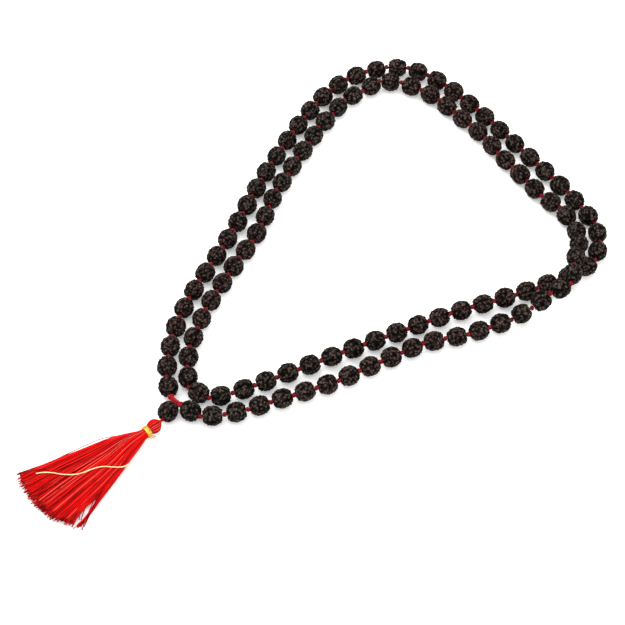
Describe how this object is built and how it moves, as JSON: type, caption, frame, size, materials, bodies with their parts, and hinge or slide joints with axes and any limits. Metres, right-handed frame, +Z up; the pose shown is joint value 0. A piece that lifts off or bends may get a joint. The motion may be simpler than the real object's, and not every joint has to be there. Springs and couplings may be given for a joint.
{
  "type": "mala prayer beads",
  "caption": "Knotted strand of rough seed beads laid as a double loop, with a guru bead and a red silk tassel bound in gold thread.",
  "frame": {"origin": "centre of the flat under the guru bead, on the surface that the mala lies on", "axes": "+Z up out of that surface; +X and +Y in it, with the tassel lying towards -X -Y and the loop of beads towards +X +Y"},
  "size_m": [0.2292, 0.2249, 0.0155],
  "materials": {
    "seed": "rough, dark brown, oiled seed",
    "thread": "twisted cotton, dark red",
    "silk": "glossy bright red rayon silk",
    "gold": "metallic gold thread"
  },
  "bodies": {
    "corner_zone": {"strand_001_004": "seed", "strand_053_058": "seed", "strand_105_108": "seed", "strand_end_bundle": "thread", "guru_cord": "thread"},
    "left_low_zone": {"strand_005_010": "seed", "strand_059_064": "seed"},
    "left_mid_zone": {"strand_011_016": "seed", "strand_065_070": "seed"},
    "left_top_zone": {"strand_017_022": "seed", "strand_071_075": "seed"},
    "bottom_near_zone": {"strand_048_052": "seed", "strand_100_104": "seed"},
    "bottom_far_zone": {"strand_042_047": "seed", "strand_094_099": "seed"},
    "crossing_zone": {"strand_035_041": "seed", "strand_087_093": "seed"},
    "right_low_zone": {"strand_030_034": "seed", "strand_083_086": "seed"},
    "right_top_zone": {"strand_023_029": "seed", "strand_076_082": "seed"},
    "bead_002_body": {"bead_002": "seed"},
    "bead_054_body": {"bead_054": "seed"},
    "bead_057_body": {"bead_057": "seed"},
    "bead_106_body": {"bead_106": "seed"},
    "bead_006_body": {"bead_006": "seed"},
    "bead_009_body": {"bead_009": "seed"},
    "bead_060_body": {"bead_060": "seed"},
    "bead_063_body": {"bead_063": "seed"},
    "bead_012_body": {"bead_012": "seed"},
    "bead_015_body": {"bead_015": "seed"},
    "bead_066_body": {"bead_066": "seed"},
    "bead_069_body": {"bead_069": "seed"},
    "bead_018_body": {"bead_018": "seed"},
    "bead_021_body": {"bead_021": "seed"},
    "bead_072_body": {"bead_072": "seed"},
    "bead_074_body": {"bead_074": "seed"},
    "bead_049_body": {"bead_049": "seed"},
    "bead_051_body": {"bead_051": "seed"},
    "bead_101_body": {"bead_101": "seed"},
    "bead_103_body": {"bead_103": "seed"},
    "bead_043_body": {"bead_043": "seed"},
    "bead_046_body": {"bead_046": "seed"},
    "bead_095_body": {"bead_095": "seed"},
    "bead_098_body": {"bead_098": "seed"},
    "bead_031_body": {"bead_031": "seed"},
    "bead_033_body": {"bead_033": "seed"},
    "bead_084_body": {"bead_084": "seed"},
    "bead_024_body": {"bead_024": "seed"},
    "bead_026_body": {"bead_026": "seed"},
    "bead_028_body": {"bead_028": "seed"},
    "bead_077_body": {"bead_077": "seed"},
    "bead_079_body": {"bead_079": "seed"},
    "bead_081_body": {"bead_081": "seed"},
    "guru_body": {"guru_bead": "seed"},
    "neck_body": {"tassel_neck": "silk"},
    "tassel_body": {"tassel_head": "silk", "gold_band": "gold", "tassel_skirt": "silk", "gold_thread": "gold"}
  },
  "joints": [
    {"name": "left_low_fold", "type": "hinge", "parent": "corner_zone", "child": "left_low_zone", "pos_m": [0.00634, 0.04012, 0.00384], "axis": [0.822, -0.5694, 0], "range_deg": [0, 30]},
    {"name": "left_mid_fold", "type": "hinge", "parent": "left_low_zone", "child": "left_mid_zone", "pos_m": [0.03029, 0.08975, 0.00384], "axis": [0.8102, -0.5861, 0], "range_deg": [0, 30]},
    {"name": "left_top_fold", "type": "hinge", "parent": "left_mid_zone", "child": "left_top_zone", "pos_m": [0.05422, 0.1393, 0.00384], "axis": [0.7511, -0.6601, 0], "range_deg": [0, 30]},
    {"name": "bottom_near_fold", "type": "hinge", "parent": "corner_zone", "child": "bottom_near_zone", "pos_m": [0.03586, 0.0079, 0.00384], "axis": [0.6386, -0.7695, 0], "range_deg": [0, 30]},
    {"name": "bottom_far_fold", "type": "hinge", "parent": "bottom_near_zone", "child": "bottom_far_zone", "pos_m": [0.07802, 0.02609, 0.00384], "axis": [0.6237, -0.7816, 0], "range_deg": [0, 30]},
    {"name": "crossing_fold", "type": "hinge", "parent": "bottom_far_zone", "child": "crossing_zone", "pos_m": [0.12935, 0.04588, 0.00385], "axis": [0.5817, -0.8134, 0.0015], "range_deg": [0, 30]},
    {"name": "right_low_fold", "type": "hinge", "parent": "crossing_zone", "child": "right_low_zone", "pos_m": [0.16425, 0.08753, 0.00384], "axis": [1, -0.0003, 0], "range_deg": [0, 30]},
    {"name": "right_top_fold", "type": "hinge", "parent": "right_low_zone", "child": "right_top_zone", "pos_m": [0.13937, 0.12037, 0.00384], "axis": [0.4619, 0.8869, 0], "range_deg": [0, 30]},
    {"name": "bead_002_spin", "type": "hinge", "parent": "corner_zone", "child": "bead_002_body", "pos_m": [-0.00117, 0.02, 0.00384], "axis": [0.0473, 0.9989, 0], "continuous": true},
    {"name": "bead_054_spin", "type": "hinge", "parent": "corner_zone", "child": "bead_054_body", "pos_m": [0.01985, 0.00694, 0.00384], "axis": [-0.9721, -0.2347, 0], "continuous": true},
    {"name": "bead_057_spin", "type": "hinge", "parent": "corner_zone", "child": "bead_057_body", "pos_m": [0.00691, 0.02425, 0.00384], "axis": [0.0741, 0.9972, 0], "continuous": true},
    {"name": "bead_106_spin", "type": "hinge", "parent": "corner_zone", "child": "bead_106_body", "pos_m": [0.02591, -0.00027, 0.00384], "axis": [-0.968, -0.2511, 0], "continuous": true},
    {"name": "bead_006_spin", "type": "hinge", "parent": "left_low_zone", "child": "bead_006_body", "pos_m": [0.00804, 0.05538, 0.00384], "axis": [0.4293, 0.9031, 0], "continuous": true},
    {"name": "bead_009_spin", "type": "hinge", "parent": "left_low_zone", "child": "bead_009_body", "pos_m": [0.02071, 0.07996, 0.00384], "axis": [0.4387, 0.8986, 0], "continuous": true},
    {"name": "bead_060_spin", "type": "hinge", "parent": "left_low_zone", "child": "bead_060_body", "pos_m": [0.01494, 0.05043, 0.00384], "axis": [0.424, 0.9057, 0], "continuous": true},
    {"name": "bead_063_spin", "type": "hinge", "parent": "left_low_zone", "child": "bead_063_body", "pos_m": [0.02804, 0.07464, 0.00384], "axis": [0.5384, 0.8427, 0], "continuous": true},
    {"name": "bead_012_spin", "type": "hinge", "parent": "left_mid_zone", "child": "bead_012_body", "pos_m": [0.03191, 0.10526, 0.00384], "axis": [0.4065, 0.9136, 0], "continuous": true},
    {"name": "bead_015_spin", "type": "hinge", "parent": "left_mid_zone", "child": "bead_015_body", "pos_m": [0.04432, 0.12997, 0.00384], "axis": [0.4739, 0.8806, 0], "continuous": true},
    {"name": "bead_066_spin", "type": "hinge", "parent": "left_mid_zone", "child": "bead_066_body", "pos_m": [0.03857, 0.09999, 0.00384], "axis": [0.3089, 0.9511, 0], "continuous": true},
    {"name": "bead_069_spin", "type": "hinge", "parent": "left_mid_zone", "child": "bead_069_body", "pos_m": [0.05083, 0.12449, 0.00384], "axis": [0.5626, 0.8268, 0], "continuous": true},
    {"name": "bead_018_spin", "type": "hinge", "parent": "left_top_zone", "child": "bead_018_body", "pos_m": [0.05924, 0.15319, 0.00384], "axis": [0.644, 0.7651, 0], "continuous": true},
    {"name": "bead_021_spin", "type": "hinge", "parent": "left_top_zone", "child": "bead_021_body", "pos_m": [0.08195, 0.16804, 0.00384], "axis": [0.962, 0.273, 0], "continuous": true},
    {"name": "bead_072_spin", "type": "hinge", "parent": "left_top_zone", "child": "bead_072_body", "pos_m": [0.06559, 0.14756, 0.00384], "axis": [0.5172, 0.8558, 0], "continuous": true},
    {"name": "bead_074_spin", "type": "hinge", "parent": "left_top_zone", "child": "bead_074_body", "pos_m": [0.07958, 0.15888, 0.00384], "axis": [0.8068, 0.5908, 0], "continuous": true},
    {"name": "bead_049_spin", "type": "hinge", "parent": "bottom_near_zone", "child": "bead_049_body", "pos_m": [0.06226, 0.02449, 0.00384], "axis": [-0.9169, -0.3991, 0], "continuous": true},
    {"name": "bead_051_spin", "type": "hinge", "parent": "bottom_near_zone", "child": "bead_051_body", "pos_m": [0.04543, 0.0171, 0.00384], "axis": [-0.9155, -0.4024, 0], "continuous": true},
    {"name": "bead_101_spin", "type": "hinge", "parent": "bottom_near_zone", "child": "bead_101_body", "pos_m": [0.0689, 0.01581, 0.00384], "axis": [-0.8682, -0.4962, 0], "continuous": true},
    {"name": "bead_103_spin", "type": "hinge", "parent": "bottom_near_zone", "child": "bead_103_body", "pos_m": [0.05194, 0.00881, 0.00384], "axis": [-0.943, -0.3329, 0], "continuous": true},
    {"name": "bead_043_spin", "type": "hinge", "parent": "bottom_far_zone", "child": "bead_043_body", "pos_m": [0.11316, 0.04577, 0.00384], "axis": [-0.9422, -0.3349, 0], "continuous": true},
    {"name": "bead_046_spin", "type": "hinge", "parent": "bottom_far_zone", "child": "bead_046_body", "pos_m": [0.08758, 0.03544, 0.00384], "axis": [-0.9179, -0.3968, 0], "continuous": true},
    {"name": "bead_095_spin", "type": "hinge", "parent": "bottom_far_zone", "child": "bead_095_body", "pos_m": [0.11972, 0.03627, 0.00384], "axis": [-0.9251, -0.3797, 0], "continuous": true},
    {"name": "bead_098_spin", "type": "hinge", "parent": "bottom_far_zone", "child": "bead_098_body", "pos_m": [0.09341, 0.02846, 0.00384], "axis": [-0.8908, -0.4544, 0], "continuous": true},
    {"name": "bead_031_spin", "type": "hinge", "parent": "right_low_zone", "child": "bead_031_body", "pos_m": [0.15029, 0.11397, 0.00384], "axis": [0.6227, -0.7825, 0], "continuous": true},
    {"name": "bead_033_spin", "type": "hinge", "parent": "right_low_zone", "child": "bead_033_body", "pos_m": [0.16136, 0.09925, 0.00384], "axis": [0.5629, -0.8265, 0], "continuous": true},
    {"name": "bead_084_spin", "type": "hinge", "parent": "right_low_zone", "child": "bead_084_body", "pos_m": [0.14544, 0.10505, 0.00384], "axis": [0.5593, -0.8289, 0], "continuous": true},
    {"name": "bead_024_spin", "type": "hinge", "parent": "right_top_zone", "child": "bead_024_body", "pos_m": [0.10758, 0.16214, 0.00384], "axis": [0.7979, -0.6028, 0], "continuous": true},
    {"name": "bead_026_spin", "type": "hinge", "parent": "right_top_zone", "child": "bead_026_body", "pos_m": [0.12081, 0.14936, 0.00384], "axis": [0.6785, -0.7346, 0], "continuous": true},
    {"name": "bead_028_spin", "type": "hinge", "parent": "right_top_zone", "child": "bead_028_body", "pos_m": [0.13287, 0.13543, 0.00384], "axis": [0.6348, -0.7726, 0], "continuous": true},
    {"name": "bead_077_spin", "type": "hinge", "parent": "right_top_zone", "child": "bead_077_body", "pos_m": [0.1045, 0.15424, 0.00384], "axis": [0.8217, -0.5699, 0], "continuous": true},
    {"name": "bead_079_spin", "type": "hinge", "parent": "right_top_zone", "child": "bead_079_body", "pos_m": [0.11748, 0.14137, 0.00384], "axis": [0.6964, -0.7176, 0], "continuous": true},
    {"name": "bead_081_spin", "type": "hinge", "parent": "right_top_zone", "child": "bead_081_body", "pos_m": [0.12917, 0.12727, 0.00384], "axis": [0.5277, -0.8494, 0], "continuous": true},
    {"name": "guru_bead_spin", "type": "hinge", "parent": "corner_zone", "child": "guru_body", "pos_m": [0, 0, 0.00384], "axis": [-0.5, -0.866, 0], "continuous": true},
    {"name": "tassel_swing", "type": "hinge", "parent": "corner_zone", "child": "neck_body", "pos_m": [-0.00225, -0.0039, 0.00384], "axis": [0, 0, 1], "range_deg": [-45, 45]},
    {"name": "tassel_lift", "type": "hinge", "parent": "neck_body", "child": "tassel_body", "pos_m": [-0.00225, -0.0039, 0.00384], "axis": [-0.682, 0.7314, 0], "range_deg": [0, 55]}
  ]
}
